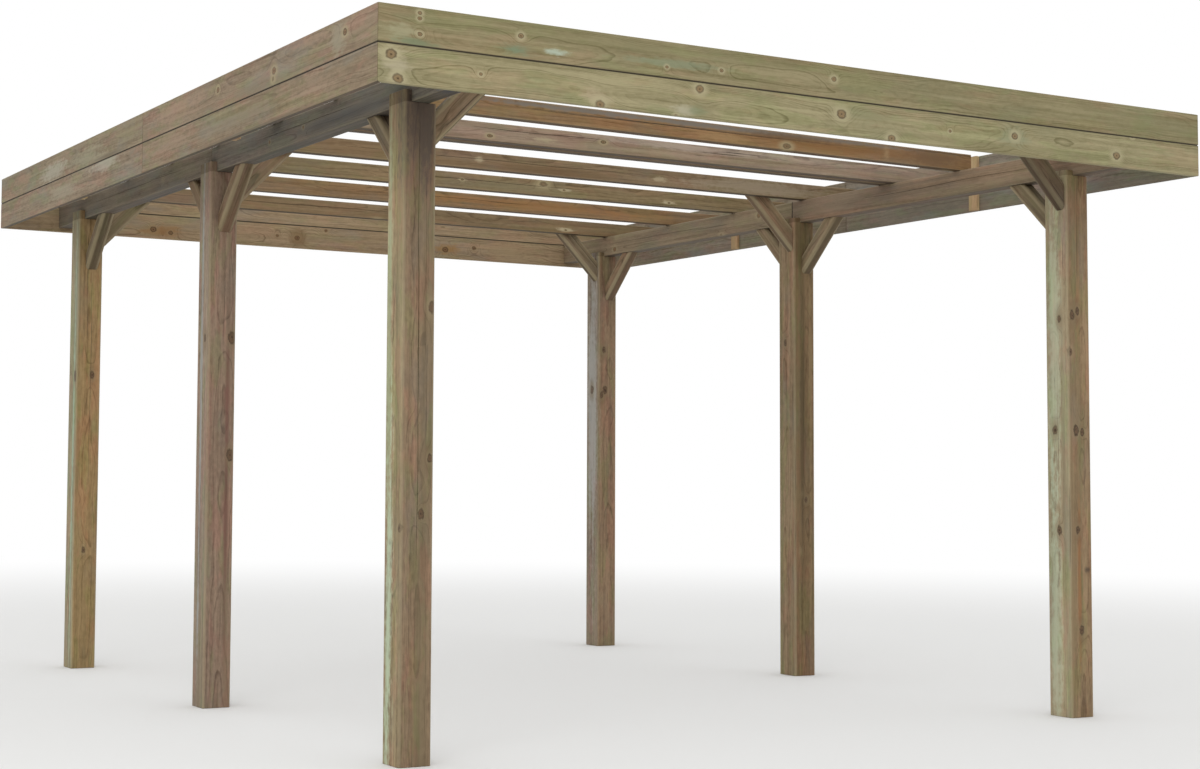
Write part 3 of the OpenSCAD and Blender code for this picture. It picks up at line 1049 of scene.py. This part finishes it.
for seed, (node, look) in enumerate(side_looks.items(), 61):
    low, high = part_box(node)
    size = (high.y - low.y, high.x - low.x, high.z - low.z)
    board = sawn_bar(*size, board_arris, step=0.15, segments=3)
    lie = lay((high.x, low.y, low.z), (0, 1, 0), (-1, 0, 0))
    bmesh.ops.transform(board, matrix=lie, verts=board.verts)
    inward = 1 if low.x < 0 else -1
    board_outer_x = low.x if low.x < 0 else high.x
    end = -1 if node.endswith("front") else 1
    corner_y = low.y if end < 0 else high.y
    mitre = Vector((inward, end, 0)).normalized()
    saw_off(board, (board_outer_x, corner_y, 0), mitre)
    soften_ends(board, mitre)
    soften_ends(board, (0, -end, 0))
    finish = timber_finish(
        f"{node}_timber",
        lie,
        size,
        seed=seed,
        arris=board_arris,
        pith=(-0.05, 0.03),
        slope=(0.005, 0.010),
        ring=0.0050,
        sway=0.028,
        line=0.5,
        knot_size=0.011,
        knot_share=0.4,
        knots=side_knots.get(node, ()),
        marks=side_marks.get(node, ()),
        halo=0.6,
        band_colour=(0.192, 0.153, 0.088),
        grey_colour=(0.24, 0.229, 0.184),
        grey=0.4,
        arris_highlight_share=0.3,
        checks=0.2,
        mottle=0.85,
        seam_shadow_sides=(1,) if "lower" in node else (-1,),
        # painted shade: the inner face bluer, the underside darker
        face_shades=(
            ((inward, 0, 0), (0.88, 1.0, 1.2)),
            (down, (0.45, 0.45, 0.47)),
        ),
        **look,
    )
    fix(f"{node}_weathered", board, [node], finish)


# ---------------------------------------------------------------- cleats
# Four short upright cleats of newer, paler pine tie the lower and upper side boards together
# on their inner faces, between the posts.
cleat_thick = 0.018
cleat_wide = 0.050
cleat_arris = 0.0015
cleat_low, cleat_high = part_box("fascia_cleats")
cleat_size = (cleat_high.z - cleat_low.z, cleat_thick, cleat_wide)
cleats = bmesh.new()
for x in (cleat_low.x, cleat_high.x - cleat_thick):
    for y in (cleat_low.y, cleat_high.y - cleat_wide):
        cleat = sawn_bar(*cleat_size, cleat_arris, step=0.06, segments=2)
        lie = lay((x, y, cleat_low.z), up, (1, 0, 0))
        soften_both_ends(cleat)
        bmesh.ops.transform(cleat, matrix=lie, verts=cleat.verts)
        part = bpy.data.meshes.new("cleat_part")
        cleat.to_mesh(part)
        cleat.free()
        cleats.from_mesh(part)
        bpy.data.meshes.remove(part)
# one grain runs upright through all four, centred on the last of them
finish = timber_finish(
    "cleat_pine",
    lie,
    cleat_size,
    pale=(0.496, 0.36, 0.204),
    dark=(0.304, 0.184, 0.082),
    seed=81,
    arris=cleat_arris,
    grey=0.15,
    band=0.2,
    arris_highlight_share=0.0,
    checks=0.1,
)
fix("fascia_cleats_pine", cleats, ["fascia_cleats"], finish)


# ---------------------------------------------------------------- floor, light and camera
# A plain pale studio floor that runs out into white, an even white surround, and one large
# soft light from the front left.
floor_radius = 60.0
white_from = 4.5
white_by = 13.0
floor_disc = bmesh.new()
bmesh.ops.create_circle(floor_disc, cap_ends=True, segments=96, radius=floor_radius)
floor_mesh = bpy.data.meshes.new("floor")
floor_disc.to_mesh(floor_mesh)
floor_disc.free()
floor = bpy.data.objects.new("floor", floor_mesh)
bpy.context.scene.collection.objects.link(floor)
paint = bpy.data.materials.new("studio_floor")
paint.use_nodes = True
paint.node_tree.nodes.clear()
ground = Shade(paint.node_tree)
spot = ground.node("ShaderNodeTexCoord", output="Object")
spread = spot.vector("LENGTH", output="Value").ease(white_from, white_by)
matt = ground.node(
    "ShaderNodeBsdfPrincipled",
    {},
    {"Base Color": (0.78, 0.78, 0.77, 1), "Roughness": 0.9, "Specular IOR Level": 0.1},
)
white = ground.node("ShaderNodeEmission", {}, {"Color": (1, 1, 1, 1), "Strength": 1.0})
mixed = ground.node("ShaderNodeMixShader", {}, {0: spread, 1: matt, 2: white})
ground.node("ShaderNodeOutputMaterial", {}, {"Surface": mixed})
floor_mesh.materials.append(paint)

scene = bpy.context.scene
scene.view_settings.view_transform = "Standard"
world = bpy.data.worlds.new("studio")
world.use_nodes = True
background = world.node_tree.nodes["Background"]
background.inputs["Color"].default_value = (1, 1, 1, 1)
background.inputs["Strength"].default_value = 1.0
scene.world = world

lamp = bpy.data.lights.new("soft_light", "AREA")
lamp.shape = "RECTANGLE"
lamp.size = 6.0
lamp.size_y = 4.0
lamp.energy = 200.0
light = bpy.data.objects.new("soft_light", lamp)
light.location = (-6.5, -7.5, 6.0)
lit_point = Vector((0, 0, 1.2))
light.rotation_euler = (lit_point - light.location).to_track_quat("-Z", "Y").to_euler()
scene.collection.objects.link(light)

# the camera stands low at the front left and looks a little upwards
heading = math.radians(28.562)
rise = math.radians(3.501)
roll = math.radians(0.461)
ahead = Vector(
    (math.sin(heading) * math.cos(rise), math.cos(heading) * math.cos(rise), math.sin(rise))
)
level = Vector((math.cos(heading), -math.sin(heading), 0))
above = level.cross(ahead)
right_way = level * math.cos(roll) + above * math.sin(roll)
up_way = above * math.cos(roll) - level * math.sin(roll)
lens = bpy.data.cameras.new("camera")
lens.sensor_width = 36.0
lens.lens = 57.77
lens.shift_x = 0.1241
lens.shift_y = -0.0247
lens.clip_end = 200.0
camera = bpy.data.objects.new("camera", lens)
camera_place = (-4.4418, -7.4120, 0.9575)
camera_turn = Matrix((right_way, up_way, -ahead)).transposed().to_4x4()
camera.matrix_world = Matrix.Translation(camera_place) @ camera_turn
scene.collection.objects.link(camera)
scene.camera = camera
